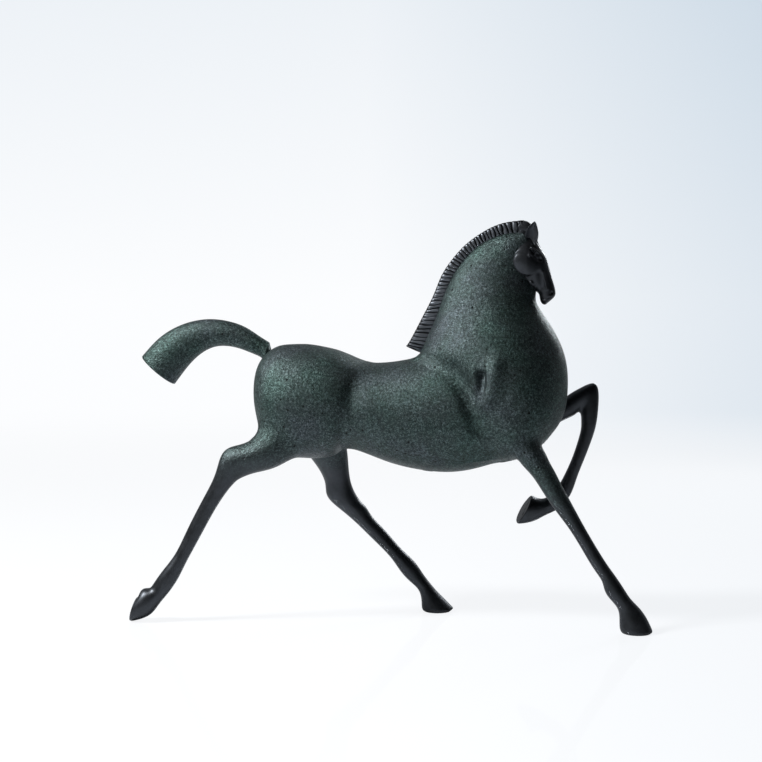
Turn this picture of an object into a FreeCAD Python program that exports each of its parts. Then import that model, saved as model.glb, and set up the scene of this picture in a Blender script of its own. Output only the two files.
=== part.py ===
"""Bronze horse statuette, standing on three feet with the left foreleg raised.

A sectional casting: three hollow shells make the trunk (hindquarters, barrel, forehand), and the solid cast
head, ears, mane, legs and the hollow tail are pinned and brazed to them. The seams run along the creases of
the sculpture. Nothing moves.

Frame: millimetres, +X towards the chest, +Y to the horse's left, +Z up. The origin is on the table, below the
middle of the bounding box.
"""

import FreeCAD, Part

import math
import os

from FreeCAD import Vector

# ---------------------------------------------------------------- driving dimensions

LENGTH = 420.0  # from the toe of the trailing hoof to the toe of the leading hoof
TRUNK_HALF_WIDTH = 47.0  # at the shoulders, the widest place
HOOF_Y = 36.0  # a standing hoof's centre, off the middle plane
HOOF_LENGTH = 24.6  # ground length of a flat hoof's wall
HOOF_HALF_WIDTH = 11.0
WALL = 3.0  # cast wall of the hollow sections
TAIL_WALL = 4.0
TAIL_RIM = 2.0  # the edge left standing round the tail's end cap
CLEARANCE = 0.05  # round every pin, sleeve and plug
PIN_RADIUS = 2.5
PIN_REACH = 12.0  # a pin's length on each side of its joint
BOSS_WALL = 3.5  # metal round a pin hole inside a shell
SLEEVE_WALL = 2.5
MANE_HALF_THICKNESS = 4.2
MANE_PIN_RADIUS = 1.2
MANE_PIN_REACH = 3.4
PLUG_RADIUS = 4.5
CAP_THICKNESS = 2.0
RING_POINTS = 16  # points that each cross-section's closed curve passes through
RING_PARAMETERS = [float(i) for i in range(RING_POINTS + 1)]
LOFT_DEGREE = 3

ACROSS = Vector(0, 1, 0)
HALF_LENGTH = LENGTH / 2

# ---------------------------------------------------------------- outlines of the trunk
#
# A cross-section is ((x, z), (x, z), y, half width): the two ends of its long or short axis in side view, the
# place of its centre off the middle plane, and half of its width.


def upright(x, top, bottom, half_width):
    """A cross-section of the trunk across the plane at x."""
    return ((x, top), (x, bottom), 0.0, half_width)


# Rump and both haunches, from the buttocks to the flank crease, where the haunch dips under the barrel.
HINDQUARTERS = [
    upright(-114.0, 190.0, 172.0, 9.0),
    upright(-112.0, 203.0, 160.0, 20.0),
    upright(-107.0, 213.0, 149.0, 30.0),
    upright(-99.0, 220.5, 140.0, 38.0),
    upright(-87.0, 225.0, 134.0, 43.5),
    upright(-72.0, 226.3, 131.5, 45.5),
    ((-55.0, 225.0), (-59.0, 131.5), 0.0, 45.0),
    ((-40.0, 219.5), (-49.0, 134.0), 0.0, 42.5),
    ((-31.0, 213.5), (-42.0, 139.5), 0.0, 37.5),
    ((-26.5, 207.0), (-37.5, 147.0), 0.0, 30.0),
]

# Barrel, from inside the haunches to inside the chest. The back dips, and the belly hangs lowest in front.
BARREL = [
    upright(-66.0, 220.0, 138.0, 36.0),
    upright(-44.0, 218.5, 136.5, 37.0),
    upright(-22.0, 213.5, 136.0, 37.8),
    upright(0.0, 211.0, 130.0, 39.5),
    upright(22.0, 213.0, 124.0, 41.5),
    upright(44.0, 216.5, 121.8, 42.5),
    upright(66.0, 212.0, 123.6, 42.0),
    upright(88.0, 200.0, 130.5, 38.0),
]

# Chest, shoulders and neck, from the elbows to the poll: (back of the neck, front of the chest).
FOREHAND = [
    ((92.0, 129.0), (108.0, 131.0), 0.0, 16.0),
    ((85.0, 135.0), (120.5, 138.0), 0.0, 32.0),
    ((77.0, 149.0), (130.0, 151.0), 0.0, 42.0),
    ((68.0, 169.0), (140.5, 168.0), 0.0, 46.2),
    ((60.0, 190.0), (144.3, 188.0), 0.0, TRUNK_HALF_WIDTH),
    ((50.0, 209.0), (143.5, 208.0), 0.0, 45.0),
    ((37.0, 225.0), (138.5, 227.0), 0.0, 40.5),
    ((39.5, 247.5), (127.5, 246.5), 0.0, 33.0),
    ((46.0, 269.5), (118.0, 263.0), 0.0, 25.5),
    ((56.0, 291.0), (111.0, 277.0), 0.0, 19.5),
    ((71.0, 306.5), (108.5, 288.0), 0.0, 15.0),
    ((88.0, 314.0), (109.0, 296.0), 0.0, 12.0),
    ((101.0, 315.5), (110.5, 302.0), 0.0, 9.0),
]

# ---------------------------------------------------------------- outlines of the limbs, from trunk to hoof

# Each is (back of the limb, front of the limb, y, half width).
RIGHT_HIND_LEG = [
    ((-102.0, 174.0), (-64.0, 147.0), -19.0, 17.0),
    ((-108.5, 161.0), (-76.0, 130.0), -25.5, 19.0),
    ((-113.5, 150.0), (-94.0, 122.5), -28.0, 15.0),
    ((-121.0, 146.5), (-107.0, 119.5), -30.5, 12.0),
    ((-130.5, 143.6), (-115.5, 117.8), -32.0, 10.0),
    ((-136.6, 136.0), (-121.0, 114.8), -33.0, 8.7),
    ((-138.4, 124.5), (-124.6, 111.0), -33.6, 7.8),
    ((-142.3, 113.0), (-129.4, 105.0), -34.0, 6.9),
    ((-150.2, 97.0), (-138.4, 90.5), -34.3, 6.2),
    ((-161.8, 74.8), (-150.7, 68.0), -34.8, 5.8),
    ((-172.0, 55.0), (-161.0, 48.0), -35.3, 6.0),
    ((-183.6, 41.0), (-167.6, 36.5), -HOOF_Y, 6.9),
    ((-190.0, 31.0), (-173.4, 28.0), -HOOF_Y, 6.8),
]

LEFT_HIND_LEG = [
    ((-94.0, 168.0), (-44.0, 170.0), 20.0, 21.0),
    ((-86.0, 148.0), (-43.0, 152.0), 24.0, 19.0),
    ((-76.0, 131.5), (-40.5, 136.0), 27.5, 15.0),
    ((-67.0, 121.0), (-40.0, 121.5), 30.0, 12.2),
    ((-61.5, 108.0), (-38.2, 109.5), 32.0, 10.5),
    ((-59.6, 98.0), (-33.5, 100.0), 33.0, 9.6),
    ((-54.5, 89.3), (-28.6, 92.5), 33.6, 8.7),
    ((-43.0, 82.0), (-25.0, 88.0), 34.0, 7.8),
    ((-32.0, 72.5), (-19.0, 79.2), 34.5, 6.8),
    ((-19.0, 60.8), (-8.6, 68.0), 35.0, 6.2),
    ((-5.0, 46.0), (4.8, 54.0), 35.5, 6.0),
    ((2.6, 36.0), (18.8, 39.6), HOOF_Y, 6.9),
    ((10.6, 26.0), (25.8, 29.2), HOOF_Y, 6.9),
    ((18.6, 19.4), (29.5, 23.5), HOOF_Y, 6.7),
]

RIGHT_FORELEG = [
    ((80.0, 158.0), (122.0, 166.0), -20.0, 23.0),
    ((90.0, 142.0), (128.0, 152.0), -24.5, 18.0),
    ((102.0, 134.0), (130.0, 141.5), -28.0, 13.5),
    ((110.0, 130.0), (132.4, 133.5), -30.0, 10.8),
    ((117.5, 122.5), (136.0, 126.5), -31.5, 9.2),
    ((126.0, 109.0), (142.3, 115.0), -33.0, 8.0),
    ((136.3, 94.5), (150.0, 100.5), -34.0, 7.0),
    ((149.5, 76.3), (160.2, 83.0), -34.8, 6.0),
    ((163.6, 53.0), (174.0, 60.0), -35.4, 5.9),
    ((172.8, 39.5), (184.2, 44.0), -HOOF_Y, 6.4),
    ((175.8, 30.0), (191.2, 34.0), -HOOF_Y, 7.0),
    ((181.6, 20.5), (196.0, 24.5), -HOOF_Y, 6.7),
]

# The raised leg: forearm forward, knee folded tight, shin hanging back. (Inside of the bend, outside of it.)
LEFT_FOREARM = [
    ((108.0, 137.0), (93.0, 162.0), 17.0, 13.0),
    ((128.5, 144.0), (113.0, 169.0), 25.0, 12.5),
    ((138.0, 153.5), (128.5, 172.5), 28.5, 9.8),
    ((144.6, 161.0), (138.0, 177.0), 30.5, 8.3),
    ((149.5, 166.0), (147.0, 184.5), 31.8, 7.8),
    ((152.5, 168.0), (155.5, 191.0), 32.4, 7.6),
    ((154.2, 167.5), (163.6, 193.0), 32.6, 7.4),
]
LEFT_KNEE = [
    LEFT_FOREARM[-1],
    ((155.2, 165.5), (169.4, 185.5), 32.6, 7.3),
    ((155.4, 160.5), (169.2, 173.0), 32.5, 7.1),
    ((154.8, 153.5), (167.2, 158.0), 32.4, 6.8),
]
LEFT_SHIN = [
    LEFT_KNEE[-1],
    ((151.6, 142.0), (162.8, 144.0), 32.2, 6.4),
    ((147.4, 129.5), (158.0, 131.0), 32.0, 6.2),
    ((141.5, 117.0), (152.4, 115.5), 31.8, 6.2),
    ((136.5, 108.5), (147.8, 103.0), 31.6, 6.5),
    ((131.0, 103.4), (137.6, 90.6), 31.5, 6.7),
]

# ---------------------------------------------------------------- outlines of the hooves

# A flat hoof, in offsets from the ground below its heel: coronet, wall and the sole's edge.
FLAT_HOOF = [
    ((-1.2, 12.5), (15.6, 17.0), HOOF_HALF_WIDTH - 2.8),
    ((-1.0, 6.0), (20.0, 9.5), HOOF_HALF_WIDTH - 1.2),
    ((-0.2, 1.6), (24.0, 2.6), HOOF_HALF_WIDTH),
    ((1.0, 0.0), (HOOF_LENGTH, 0.0), HOOF_HALF_WIDTH - 0.6),
]
RIGHT_FORE_HEEL_X = HALF_LENGTH - HOOF_LENGTH
LEFT_HIND_HEEL_X = 23.4

# The trailing hoof, in offsets from its toe's point. It stands on that point, filed flat by a hair below the
# ground line, and its sole faces backwards.
TRAILING_HOOF = [
    ((16.0, 29.5), (32.4, 23.5), 7.4),
    ((10.0, 27.5), (27.5, 15.0), 9.3),
    ((7.0, 25.0), (19.0, 5.5), 10.8),
    ((5.6, 22.0), (0.0, -0.6), 10.2),
]

# The raised hoof: its heel is up, and its sole faces back. (Heel side, toe side, half width.)
RAISED_HOOF = [
    ((126.5, 100.4), (127.5, 85.4), 7.4),
    ((119.5, 100.6), (118.0, 81.6), 9.4),
    ((114.8, 101.0), (108.2, 79.2), 10.8),
    ((113.4, 99.6), (103.6, 79.6), 10.2),
]
RAISED_HOOF_Y = 31.5

# ---------------------------------------------------------------- outlines of head, mane, ears and tail

# From the poll to the lips: (back of the jaw, forehead or nose, y, half width).
HEAD = [
    ((104.0, 308.0), (114.0, 313.0), 0.0, 6.0),
    ((100.6, 301.5), (119.6, 307.5), 0.0, 10.4),
    ((100.0, 294.0), (124.0, 300.5), 0.0, 12.6),
    ((102.0, 286.5), (127.0, 293.5), 0.0, 12.4),
    ((107.5, 280.0), (129.2, 286.0), 0.0, 10.0),
    ((114.2, 274.2), (131.2, 279.4), 0.0, 7.8),
    ((118.6, 269.0), (133.0, 273.0), 0.0, 6.8),
    ((121.2, 264.0), (134.0, 267.0), 0.0, 6.6),
    ((122.6, 260.4), (131.6, 262.4), 0.0, 5.4),
    ((124.4, 258.2), (128.2, 259.2), 0.0, 3.0),
]

# The mane's crest, from the withers to the poll: (outer edge, root inside the neck).
MANE = [
    ((14.2, 222.6), (38.0, 219.0)),
    ((19.9, 235.0), (43.0, 229.5)),
    ((26.1, 247.0), (48.0, 242.0)),
    ((32.3, 258.6), (53.0, 253.5)),
    ((37.6, 270.2), (58.0, 265.0)),
    ((43.4, 282.0), (63.0, 275.0)),
    ((51.0, 294.0), (69.0, 284.0)),
    ((61.0, 305.0), (77.0, 292.5)),
    ((73.0, 314.2), (84.5, 299.5)),
    ((86.5, 321.0), (92.5, 304.5)),
    ((99.0, 325.4), (100.0, 308.0)),
    ((106.5, 326.8), (104.5, 309.0)),
]

FORELOCK = [
    ((106.2, 326.6), (104.8, 308.0), 0.0, 3.6),
    ((111.5, 326.2), (109.5, 309.0), 0.0, 4.0),
    ((116.6, 322.4), (113.5, 308.5), 0.0, 3.8),
    ((120.0, 315.6), (116.8, 307.0), 0.0, 3.0),
    ((122.0, 308.0), (119.6, 303.5), 0.0, 2.0),
]

# An ear is a pointed leaf, hollowed on its outer face: (back edge, front edge, y, half thickness).
RIGHT_EAR = [
    ((108.0, 305.0), (118.0, 304.0), -7.0, 2.8),
    ((107.6, 311.0), (118.8, 310.0), -8.4, 3.6),
    ((108.6, 317.0), (119.0, 316.0), -9.8, 3.3),
    ((111.0, 321.6), (118.6, 320.8), -10.6, 2.6),
    ((114.6, 325.0), (116.8, 324.8), -11.0, 1.1),
]
EAR_BOWL_CENTRE = Vector(113.6, -15.0, 315.0)
EAR_BOWL_RADIUS = 5.0

# The tail is a horn, widening from a thin root to a flat cut end: (upper side, under side, y, half width).
TAIL = [
    ((-98.0, 226.0), (-102.0, 214.0), 0.0, 5.6),
    ((-109.0, 233.4), (-112.0, 217.2), 0.0, 6.8),
    ((-121.0, 240.2), (-124.0, 221.8), 0.0, 8.2),
    ((-135.0, 245.0), (-136.5, 224.4), 0.0, 9.4),
    ((-150.0, 246.8), (-148.5, 223.2), 0.0, 10.6),
    ((-165.5, 245.0), (-160.0, 217.0), 0.0, 12.0),
    ((-181.0, 239.4), (-169.4, 208.0), 0.0, 13.4),
    ((-195.3, 229.8), (-176.0, 199.8), 0.0, 14.6),
    ((-209.0, 215.2), (-182.0, 192.0), 0.0, 15.4),
]

# ---------------------------------------------------------------- places of the joints

# Each pin's joint: (a point on its trunk side, a point on its limb side). The pin is centred between them.
PIN_JOINTS = {
    "right_hind_leg": ((-92.0, -26.5, 147.0), (-110.0, -29.5, 133.0)),
    "left_hind_leg": ((-60.0, 26.0, 143.0), (-56.0, 29.0, 125.0)),
    "right_foreleg": ((112.0, -27.0, 149.0), (121.0, -30.5, 129.0)),
    "left_foreleg": ((118.0, 25.0, 156.0), (137.0, 29.0, 165.0)),
    "head": ((99.0, 0.0, 302.0), (116.0, 0.0, 296.0)),
    "tail": ((-98.0, 0.0, 214.0), (-118.0, 0.0, 229.0)),
}

# Where each mane pin crosses the neck's surface, as (x, z), and the way it runs, out through the mane.
MANE_PIN_PLACES = [((39.0, 244.0), (-1.0, 0.35)), ((49.2, 275.0), (-1.0, 0.5)), ((71.0, 306.2), (-0.55, 1.0))]

REAR_SLEEVE_SPAN = (-50.0, -12.0)
FRONT_SLEEVE_SPAN = (42.0, 84.0)
PLUG_X = 31.0
BELLY_MID_Z = 160.0  # any height inside the barrel's hollow

# ---------------------------------------------------------------- shape helpers


def ring(first, second, y, half_width):
    """A closed oval cross-section, in the plane that holds Y and the line from first to second."""
    centre = Vector((first[0] + second[0]) / 2, y, (first[1] + second[1]) / 2)
    reach = Vector(first[0], y, first[1]) - centre
    points = []
    for i in range(RING_POINTS):
        turn = 2 * math.pi * i / RING_POINTS
        points.append(centre + reach * math.cos(turn) + ACROSS * (half_width * math.sin(turn)))
    curve = Part.BSplineCurve()
    curve.interpolate(Points=points, PeriodicFlag=True, Parameters=RING_PARAMETERS)
    return Part.Wire(curve.toShape())


def skin(stations, ruled=False):
    """A solid through the cross-sections, with flat ends. Ruled, it is straight from each one to the next."""
    return Part.makeLoft([ring(*station) for station in stations], True, ruled, False, LOFT_DEGREE)


def inset(station, depth):
    """The same cross-section, made smaller by depth all round."""
    first, second, y, half_width = station
    run_x = second[0] - first[0]
    run_z = second[1] - first[1]
    share = depth / math.hypot(run_x, run_z)
    return (
        (first[0] + run_x * share, first[1] + run_z * share),
        (second[0] - run_x * share, second[1] - run_z * share),
        y,
        half_width - depth,
    )


def core(stations, depth):
    """The hollow inside a skin, at depth under its sides and closed at its own first and last station."""
    return skin([inset(station, depth) for station in stations])


def moved(stations, x, y):
    """A hoof's cross-sections, put at its place."""
    return [((a[0] + x, a[1]), (b[0] + x, b[1]), y, half_width) for a, b, half_width in stations]


def rod(start, end, radius):
    """A round rod between two points."""
    run = end - start
    return Part.makeCylinder(radius, run.Length, start, run)


def pin_line(joint):
    """A pin's two ends and its direction."""
    trunk_side = Vector(*PIN_JOINTS[joint][0])
    limb_side = Vector(*PIN_JOINTS[joint][1])
    middle = (trunk_side + limb_side) / 2
    along = (limb_side - trunk_side).normalize()
    return middle - along * PIN_REACH, middle + along * PIN_REACH, along


def pin(joint):
    """The dowel of a joint."""
    start, end, _ = pin_line(joint)
    return rod(start, end, PIN_RADIUS)


def pin_hole(joint):
    """The drilled hole of a joint's dowel, through both pieces."""
    start, end, along = pin_line(joint)
    return rod(start - along * CLEARANCE, end + along * CLEARANCE, PIN_RADIUS + CLEARANCE)


def pin_boss(joint, outline):
    """The cast thickening inside a shell round the trunk end of a dowel."""
    start, end, along = pin_line(joint)
    return rod(start - along * BOSS_WALL, end, PIN_RADIUS + BOSS_WALL).common(outline)


def slab(from_x, to_x, from_z, to_z):
    """Everything between two planes across X and two across Z."""
    return Part.makeBox(to_x - from_x, LENGTH, to_z - from_z, Vector(from_x, -HALF_LENGTH, from_z))


def main_solid(shape):
    """The largest solid of a boolean's result."""
    return max(shape.Solids, key=lambda solid: solid.Volume)


def shell(outline, hollows, joints):
    """A trunk section: its outline, hollowed, with a drilled boss for each dowel."""
    bosses = [pin_boss(joint, outline) for joint in joints]
    body = outline.cut(hollows).fuse(bosses)
    return main_solid(body.cut([pin_hole(joint) for joint in joints]))


def save(name, shape):
    """Writes one node's file and prints its size."""
    if not shape.isValid():
        raise ValueError(name + " is not valid")
    shape.exportStep(os.path.join("parts", name + ".step"))
    print(f"{name:22s} {len(shape.Solids)} solid  {shape.Volume / 1000:7.2f} cm3")


# ---------------------------------------------------------------- the pieces


def legs(trunk):
    """The four solid cast legs, cut where they meet the trunk. A standing hoof's sole is flat, at z = 0."""
    ground = slab(-LENGTH, LENGTH, -LENGTH, 0.0)
    hooves = {
        "right_hind_leg": moved(TRAILING_HOOF, -HALF_LENGTH, -HOOF_Y),
        "left_hind_leg": moved(FLAT_HOOF, LEFT_HIND_HEEL_X, HOOF_Y),
        "right_foreleg": moved(FLAT_HOOF, RIGHT_FORE_HEEL_X, -HOOF_Y),
        "left_foreleg": moved(RAISED_HOOF, 0.0, RAISED_HOOF_Y),
    }
    spans = {
        "right_hind_leg": [RIGHT_HIND_LEG],
        "left_hind_leg": [LEFT_HIND_LEG],
        "right_foreleg": [RIGHT_FORELEG],
        "left_foreleg": [LEFT_FOREARM, LEFT_KNEE, LEFT_SHIN],
    }
    for name, bones in spans.items():
        whole = skin(bones[-1][-1:] + hooves[name], ruled=True)
        for bone in bones:
            whole = whole.fuse(skin(bone))
        save(name, main_solid(whole.cut(trunk + [pin_hole(name), ground])))


def mane_pins():
    """The mane's dowels, all alike, and the holes that they sit in."""
    pins = []
    holes = []
    for place, way in MANE_PIN_PLACES:
        middle = Vector(place[0], 0, place[1])
        along = Vector(way[0], 0, way[1]).normalize()
        start = middle - along * MANE_PIN_REACH
        end = middle + along * MANE_PIN_REACH
        pins.append(rod(start, end, MANE_PIN_RADIUS))
        holes.append(rod(start - along * CLEARANCE, end + along * CLEARANCE, MANE_PIN_RADIUS + CLEARANCE))
    return pins, holes


def mane(head, chest, holes):
    """The crest of the mane, a tall fin that sits on the neck and stops behind the ears."""
    stations = [(edge, root, 0.0, MANE_HALF_THICKNESS) for edge, root in MANE]
    return main_solid(skin(stations).cut([head, chest] + holes))


def sleeve(span):
    """A ring that bridges a seam of the trunk, brazed against the inside of both sections."""
    outside = core(BARREL, WALL + CLEARANCE)
    inside = core(BARREL, WALL + SLEEVE_WALL)
    return main_solid(outside.common(slab(*span, -LENGTH, LENGTH)).cut(inside))


def tail_pieces(rump):
    """The hollow tail, and the disc that closes its cut end, let in flush."""
    upper, under, y, half_width = TAIL[-1]
    across_end = Vector(under[0] - upper[0], 0, under[1] - upper[1])
    into_tail = across_end.cross(ACROSS).normalize() * CAP_THICKNESS
    rim = inset(TAIL[-1], TAIL_RIM)
    seat = Part.Face(ring(*rim)).extrude(into_tail)
    disc = Part.Face(ring(*inset(rim, CLEARANCE))).extrude(into_tail)
    horn = skin(TAIL).cut([rump, core(TAIL[3:], TAIL_WALL), seat, pin_hole("tail")])
    return main_solid(horn), disc


def ear(side, head):
    """A leaf-shaped ear with a bowl in its outer face, standing on the head."""
    leaf = skin(RIGHT_EAR).cut([head, Part.makeSphere(EAR_BOWL_RADIUS, EAR_BOWL_CENTRE)])
    right = main_solid(leaf)
    return right if side == "right" else right.mirror(Vector(0, 0, 0), ACROSS)


def build():
    os.makedirs("parts", exist_ok=True)
    rump = skin(HINDQUARTERS)
    barrel = skin(BARREL)
    chest = skin(FOREHAND)
    head = skin(HEAD)
    barrel_core = core(BARREL, WALL)
    pins, mane_holes = mane_pins()

    rump_cores = [core(HINDQUARTERS[1:6], WALL), barrel_core]
    save("hindquarters_shell", shell(rump, rump_cores, ["right_hind_leg", "left_hind_leg", "tail"]))
    chest_cores = [core(FOREHAND[1:-2], WALL), barrel_core]
    forehand = shell(chest, chest_cores, ["right_foreleg", "left_foreleg", "head"])
    save("forehand_shell", main_solid(forehand.cut(mane_holes)))

    plug_blank = rod(Vector(PLUG_X, 0, 0), Vector(PLUG_X, 0, BELLY_MID_Z), PLUG_RADIUS)
    plug_hole = rod(Vector(PLUG_X, 0, 0), Vector(PLUG_X, 0, BELLY_MID_Z), PLUG_RADIUS + CLEARANCE)
    save("barrel_shell", main_solid(barrel.cut([rump, chest, barrel_core, plug_hole])))
    save("belly_plug", main_solid(barrel.cut(barrel_core).common(plug_blank)))
    save("rear_sleeve", sleeve(REAR_SLEEVE_SPAN))
    save("front_sleeve", sleeve(FRONT_SLEEVE_SPAN))

    legs([rump, barrel, chest])

    save("head", main_solid(head.cut([chest, pin_hole("head")])))
    save("right_ear", ear("right", head))
    save("left_ear", ear("left", head))
    crest = mane(head, chest, mane_holes)
    save("mane", crest)
    save("mane_pins", Part.makeCompound(pins))
    save("forelock", main_solid(skin(FORELOCK).cut([head, chest, crest])))

    horn, disc = tail_pieces(rump)
    save("tail", horn)
    save("tail_end_cap", disc)

    for joint in PIN_JOINTS:
        save(joint + "_pin", pin(joint))


build()
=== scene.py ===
import math

import bpy
import numpy as np
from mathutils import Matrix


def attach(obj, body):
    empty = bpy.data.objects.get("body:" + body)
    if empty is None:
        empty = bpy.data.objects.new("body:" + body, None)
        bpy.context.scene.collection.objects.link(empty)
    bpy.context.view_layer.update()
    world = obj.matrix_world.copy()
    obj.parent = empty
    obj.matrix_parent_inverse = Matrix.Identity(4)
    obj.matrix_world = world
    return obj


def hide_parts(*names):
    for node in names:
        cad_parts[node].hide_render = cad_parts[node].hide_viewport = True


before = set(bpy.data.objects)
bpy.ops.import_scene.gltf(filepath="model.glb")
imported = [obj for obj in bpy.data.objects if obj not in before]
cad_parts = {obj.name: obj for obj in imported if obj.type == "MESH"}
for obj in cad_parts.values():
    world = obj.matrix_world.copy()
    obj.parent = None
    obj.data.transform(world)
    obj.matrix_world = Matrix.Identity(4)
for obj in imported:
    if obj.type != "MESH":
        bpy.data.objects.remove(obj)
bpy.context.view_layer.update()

# ------------------------------------------------------------------------------------------------- the studio
# A white sweep of glossy board under soft light: one large window-like lamp from the front left, a weaker one
# from above and a strip behind on the right, which draws the thin bright line down the chest and the legs.

MM = 0.001
bpy.context.scene.view_settings.view_transform = "Standard"

SENSOR_WIDTH = 36.0
IMAGE_WIDTH = 762.0
FOCAL_LENGTH = 1470.0
LOOK_DOWN = 2.0
LOOK_LEFT = 7.03
camera = bpy.data.objects.new("camera", bpy.data.cameras.new("camera"))
camera.data.sensor_width = SENSOR_WIDTH
camera.data.lens = SENSOR_WIDTH * FOCAL_LENGTH / IMAGE_WIDTH
camera.location = (139.97 * MM, -1196.45 * MM, 238.0 * MM)
camera.rotation_euler = (math.radians(90.0 - LOOK_DOWN), 0.0, math.radians(LOOK_LEFT))
bpy.context.scene.collection.objects.link(camera)
bpy.context.scene.camera = camera


def soft_lamp(name, place, target, size, power, colour):
    """A rectangular area lamp at place, turned so that its face looks at target."""
    lamp = bpy.data.objects.new(name, bpy.data.lights.new(name, "AREA"))
    lamp.data.shape = "RECTANGLE"
    lamp.data.size, lamp.data.size_y = size
    lamp.data.energy = power
    lamp.data.color = colour
    lamp.location = place
    way = np.array(target) - np.array(place)
    flat = math.hypot(way[0], way[1])
    lamp.rotation_euler = (math.atan2(flat, -way[2]), 0.0, math.atan2(-way[0], way[1]))
    lamp.visible_camera = False
    bpy.context.scene.collection.objects.link(lamp)


soft_lamp("key", (-1.20, -0.62, 1.35), (0.0, 0.0, 0.19), (0.35, 0.35), 50.0, (1.0, 0.99, 0.97))
soft_lamp("top", (0.0, 0.25, 1.3), (0.0, 0.0, 0.1), (0.9, 0.5), 1.0, (0.96, 0.98, 1.0))
soft_lamp("rim", (0.60, 1.25, 0.80), (0.08, 0.0, 0.18), (0.25, 0.6), 6.5, (0.93, 0.97, 1.0))

# Light reaches the bronze from the white wall behind it and hardly at all from the dark room in front; what
# is seen past the bronze is a pale sweep, white on the left and a little bluer towards the upper right.
WHITE = (0.975, 0.985, 1.0)
BLUE_GREY = (0.61, 0.70, 0.79)
TURN = 0.13
SIDE_SHARE = 0.62


def line_up(tree, value, low, high, to_low, to_high, smooth=False):
    """A Map Range node fed by value; returns its output."""
    node = tree.nodes.new("ShaderNodeMapRange")
    node.interpolation_type = "SMOOTHSTEP" if smooth else "LINEAR"
    node.inputs["From Min"].default_value, node.inputs["From Max"].default_value = low, high
    node.inputs["To Min"].default_value, node.inputs["To Max"].default_value = to_low, to_high
    tree.links.new(value, node.inputs["Value"])
    return node.outputs[0]


def reckon(tree, operation, a, b):
    """A Math node fed by two outputs or numbers; returns its output."""
    node = tree.nodes.new("ShaderNodeMath")
    node.operation = operation
    for socket, value in zip(node.inputs, (a, b)):
        if isinstance(value, float):
            socket.default_value = value
        else:
            tree.links.new(value, socket)
    return node.outputs[0]


def vector_math(tree, operation, vector, other=None):
    """A Vector Math node fed by an output and, where given, a fixed vector; returns the node."""
    node = tree.nodes.new("ShaderNodeVectorMath")
    node.operation = operation
    tree.links.new(vector, node.inputs[0])
    if other is not None:
        node.inputs[1].default_value = other
    return node


def parts_of(tree, vector):
    """The three outputs, X, Y and Z, of a vector."""
    node = tree.nodes.new("ShaderNodeSeparateXYZ")
    tree.links.new(vector, node.inputs[0])
    return node.outputs


def tinted(tree, share):
    """The sweep's colour: white where share is 0, blue grey where it is 1."""
    node = tree.nodes.new("ShaderNodeMix")
    node.data_type = "RGBA"
    node.inputs["A"].default_value = (*WHITE, 1.0)
    node.inputs["B"].default_value = (*BLUE_GREY, 1.0)
    tree.links.new(share, node.inputs["Factor"])
    return node.outputs["Result"]


world = bpy.data.worlds.new("studio")
world.use_nodes = True
sky = world.node_tree
apart = parts_of(sky, sky.nodes.new("ShaderNodeTexCoord").outputs["Generated"])
lighting = sky.nodes["Background"]
lighting.inputs["Color"].default_value = (0.93, 0.96, 1.0, 1.0)
sky.links.new(line_up(sky, apart["Y"], 0.0, 0.6, 0.0, 0.35, True), lighting.inputs["Strength"])
across = line_up(sky, apart["X"], -TURN, TURN, 0.0, SIDE_SHARE)
upward = line_up(sky, apart["Z"], 0.02, 0.24, 0.0, 0.38)
seen = sky.nodes.new("ShaderNodeBackground")
sky.links.new(tinted(sky, reckon(sky, "ADD", across, upward)), seen.inputs["Color"])
both = sky.nodes.new("ShaderNodeMixShader")
sky.links.new(sky.nodes.new("ShaderNodeLightPath").outputs["Is Camera Ray"], both.inputs["Fac"])
sky.links.new(lighting.outputs[0], both.inputs[1])
sky.links.new(seen.outputs[0], both.inputs[2])
sky.links.new(both.outputs[0], sky.nodes["World Output"].inputs["Surface"])
bpy.context.scene.world = world


FLOOR_REACH = 60.0
floor_mesh = bpy.data.meshes.new("floor")
floor_corners = [(FLOOR_REACH * x, FLOOR_REACH * y, 0) for x, y in ((-1, -1), (1, -1), (1, 1), (-1, 1))]
floor_mesh.from_pydata(floor_corners, [], [(0, 1, 2, 3)])
floor = bpy.data.objects.new("floor", floor_mesh)
bpy.context.scene.collection.objects.link(floor)
board = bpy.data.materials.new("white board")
board.use_nodes = True
tree = board.node_tree
board_shader = tree.nodes["Principled BSDF"]
board_shader.inputs["Base Color"].default_value = (0.72, 0.74, 0.77, 1.0)
board_shader.inputs["Roughness"].default_value = 0.05
board_shader.inputs["Specular IOR Level"].default_value = 0.7
board_place = tree.nodes.new("ShaderNodeTexCoord").outputs["Object"]
far = line_up(tree, vector_math(tree, "LENGTH", board_place).outputs["Value"], 0.30, 3.5, 0.0, 1.0, True)
# The bluer side is found by the direction from the camera's place at the start. It is a fixed point, but the
# floor's colour should not depend on where the camera stands at all; this is an open fault.
from_camera = vector_math(tree, "SUBTRACT", board_place, camera.location).outputs["Vector"]
heading = parts_of(tree, vector_math(tree, "NORMALIZE", from_camera).outputs["Vector"])
glow = tree.nodes.new("ShaderNodeEmission")
sideways = line_up(tree, heading["X"], -TURN, TURN, 0.0, SIDE_SHARE)
tint = reckon(tree, "MULTIPLY", sideways, reckon(tree, "MAXIMUM", far, 0.25))
tree.links.new(tinted(tree, tint), glow.inputs["Color"])
tree.links.new(line_up(tree, far, 0.0, 1.0, 1.10, 1.0), glow.inputs["Strength"])
board_mix = tree.nodes.new("ShaderNodeMixShader")
seen_board = tree.nodes.new("ShaderNodeLightPath").outputs["Is Camera Ray"]
board_share = line_up(tree, far, 0.0, 1.0, 0.80, 1.0)
tree.links.new(reckon(tree, "MULTIPLY", board_share, seen_board), board_mix.inputs["Fac"])
tree.links.new(board_shader.outputs[0], board_mix.inputs[1])
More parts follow.
